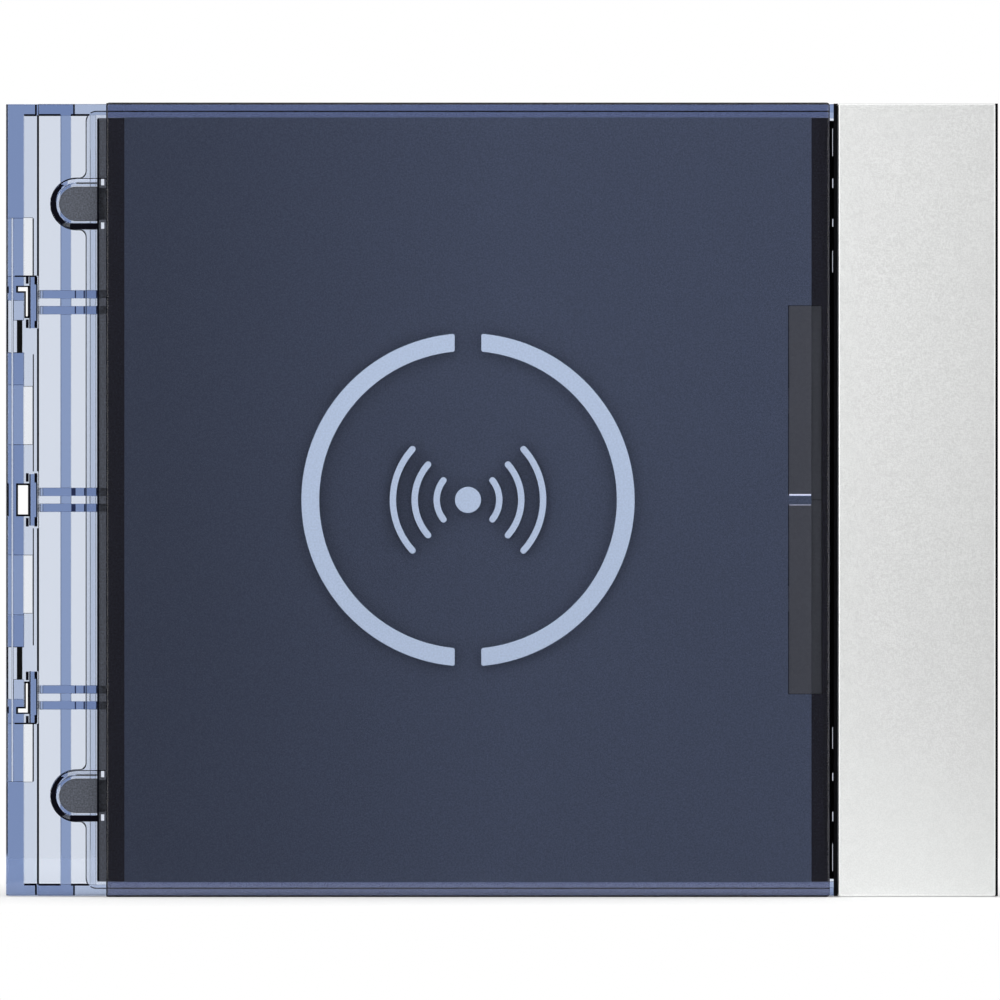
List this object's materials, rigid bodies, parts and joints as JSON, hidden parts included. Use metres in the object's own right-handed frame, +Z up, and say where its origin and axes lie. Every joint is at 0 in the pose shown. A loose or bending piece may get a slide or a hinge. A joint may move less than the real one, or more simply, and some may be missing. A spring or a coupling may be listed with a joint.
{
  "type": "rfid card reader",
  "caption": "Wall-mounted proximity card reader with a smoked window, contactless symbol, clear clip-on carrier, satin trim and pull-off front over an electronics module.",
  "frame": {"origin": "centre of the flat rear face that lies against the wall", "axes": "+X to the right seen from the front, +Z up, +Y into the wall, so the window faces -Y"},
  "size_m": [0.1151, 0.0295, 0.0922],
  "materials": {
    "clear_polycarbonate": "clear blue-tinted moulded polycarbonate, polished",
    "smoked_window": "smoked glossy polycarbonate",
    "navy_film": "printed satin film",
    "light_guide": "translucent periwinkle light guide",
    "dark_plate": "fine-textured dark grey",
    "status_diffuser": "grey translucent diffuser",
    "satin_aluminium": "satin bead-blasted",
    "black_plastic": "matt moulded",
    "black_rubber": "matt rubber",
    "foam": "closed-cell foam",
    "housing_plastic": "spark-eroded texture",
    "circuit_board": "green solder mask",
    "copper": "bare copper track",
    "ferrite": "sintered ferrite sheet",
    "steel": "zinc-plated",
    "gold_contact": "gold-flashed contact",
    "chip_black": "moulded epoxy package",
    "ceramic_part": "ceramic surface-mount part",
    "capacitor_can": "aluminium can",
    "relay_blue": "moulded relay case",
    "led_plastic": "clear-topped LED package",
    "terminal_green": "terminal block plastic",
    "white_plastic": "connector plastic",
    "switch_red": "switch body plastic",
    "spacer_nylon": "natural nylon",
    "label_silver": "blank silver label"
  },
  "bodies": {
    "module": {"housing": "housing_plastic", "rear_cover": "housing_plastic", "cover_screws": "steel", "main_board": "circuit_board", "board_screws": "steel", "board_chips": "chip_black", "small_components": "ceramic_part", "capacitors": "capacitor_can", "relay": "relay_blue", "buzzer": "black_plastic", "antenna_board": "circuit_board", "antenna_coil": "copper", "ferrite_sheet": "ferrite", "board_spacers": "spacer_nylon", "antenna_screws": "steel", "ring_leds": "led_plastic", "status_leds": "led_plastic", "status_light_pipes": "light_guide", "terminal_header": "terminal_green", "terminal_pins": "gold_contact", "bus_socket_in": "white_plastic", "bus_socket_out": "white_plastic", "bus_pins": "gold_contact", "dip_switch_body": "switch_red", "program_switch_body": "black_plastic", "tamper_switch_body": "black_plastic", "usb_socket": "steel", "latch_pins": "steel", "label_plate": "label_silver"},
    "front_cover": {"front_carrier": "clear_polycarbonate", "window_frame": "clear_polycarbonate", "backing_plate": "dark_plate", "printed_film": "navy_film", "front_window": "smoked_window", "ring_arc_left": "light_guide", "ring_arc_right": "light_guide", "symbol_waves": "light_guide", "symbol_dot": "light_guide", "status_bar_upper": "status_diffuser", "status_bar_lower": "status_diffuser", "trim_cover": "satin_aluminium", "trim_retainer": "black_plastic", "gap_seal": "black_rubber", "side_seal": "black_rubber", "hook_pads": "black_rubber", "cover_gasket": "foam"},
    "terminal_plug": {"terminal_plug": "terminal_green", "terminal_screws": "steel"},
    "tamper_plunger": {"tamper_plunger": "white_plastic"},
    "program_button": {"program_button": "white_plastic"},
    "usb_cap": {"usb_cap": "black_rubber"},
    "module_latch_upper": {"module_latch_upper": "housing_plastic"},
    "module_latch_lower": {"module_latch_lower": "housing_plastic"},
    "snap_latch_upper": {"snap_latch_upper": "clear_polycarbonate"},
    "snap_latch_middle": {"snap_latch_middle": "clear_polycarbonate"},
    "snap_latch_lower": {"snap_latch_lower": "clear_polycarbonate"},
    "dip_slider_1": {"dip_slider_1": "white_plastic"},
    "dip_slider_2": {"dip_slider_2": "white_plastic"},
    "dip_slider_3": {"dip_slider_3": "white_plastic"},
    "dip_slider_4": {"dip_slider_4": "white_plastic"}
  },
  "joints": [
    {"name": "front_cover_pull", "type": "slide", "parent": "module", "child": "front_cover", "axis": [0, -1, 0], "range_m": [0, 0.03]},
    {"name": "terminal_plug_pull", "type": "slide", "parent": "module", "child": "terminal_plug", "axis": [0, 1, 0], "range_m": [0, 0.009]},
    {"name": "tamper_plunger_press", "type": "slide", "parent": "module", "child": "tamper_plunger", "axis": [0, -1, 0], "range_m": [0, 0.0015], "stiffness_N_per_m": 150, "springref_m": -0.0005},
    {"name": "program_button_press", "type": "slide", "parent": "module", "child": "program_button", "axis": [0, -1, 0], "range_m": [0, 0.0005], "stiffness_N_per_m": 600, "springref_m": -0.0002},
    {"name": "usb_cap_swing", "type": "hinge", "parent": "module", "child": "usb_cap", "pos_m": [-0.026, -0.0128, -0.0417], "axis": [0, 1, 0], "range_deg": [0, 100], "stiffness_Nm_per_rad": 0.001},
    {"name": "module_latch_upper_flex", "type": "hinge", "parent": "module", "child": "module_latch_upper", "pos_m": [0.024, -0.014, 0.0422], "axis": [-1, 0, 0], "range_deg": [0, 5.5], "stiffness_Nm_per_rad": 0.02},
    {"name": "module_latch_lower_flex", "type": "hinge", "parent": "module", "child": "module_latch_lower", "pos_m": [0.024, -0.014, -0.0422], "axis": [1, 0, 0], "range_deg": [0, 5.5], "stiffness_Nm_per_rad": 0.02},
    {"name": "snap_latch_upper_flex", "type": "hinge", "parent": "front_cover", "child": "snap_latch_upper", "pos_m": [-0.0544, -0.0202, 0.02295], "axis": [0, 0, -1], "range_deg": [0, 5], "stiffness_Nm_per_rad": 0.002},
    {"name": "snap_latch_middle_flex", "type": "hinge", "parent": "front_cover", "child": "snap_latch_middle", "pos_m": [-0.0544, -0.0202, 0], "axis": [0, 0, -1], "range_deg": [0, 5], "stiffness_Nm_per_rad": 0.002},
    {"name": "snap_latch_lower_flex", "type": "hinge", "parent": "front_cover", "child": "snap_latch_lower", "pos_m": [-0.0544, -0.0202, -0.02295], "axis": [0, 0, -1], "range_deg": [0, 5], "stiffness_Nm_per_rad": 0.002},
    {"name": "dip_slider_1_slide", "type": "slide", "parent": "module", "child": "dip_slider_1", "axis": [0, 0, 1], "range_m": [0, 0.0014]},
    {"name": "dip_slider_2_slide", "type": "slide", "parent": "module", "child": "dip_slider_2", "axis": [0, 0, 1], "range_m": [0, 0.0014]},
    {"name": "dip_slider_3_slide", "type": "slide", "parent": "module", "child": "dip_slider_3", "axis": [0, 0, 1], "range_m": [0, 0.0014]},
    {"name": "dip_slider_4_slide", "type": "slide", "parent": "module", "child": "dip_slider_4", "axis": [0, 0, 1], "range_m": [0, 0.0014]}
  ]
}
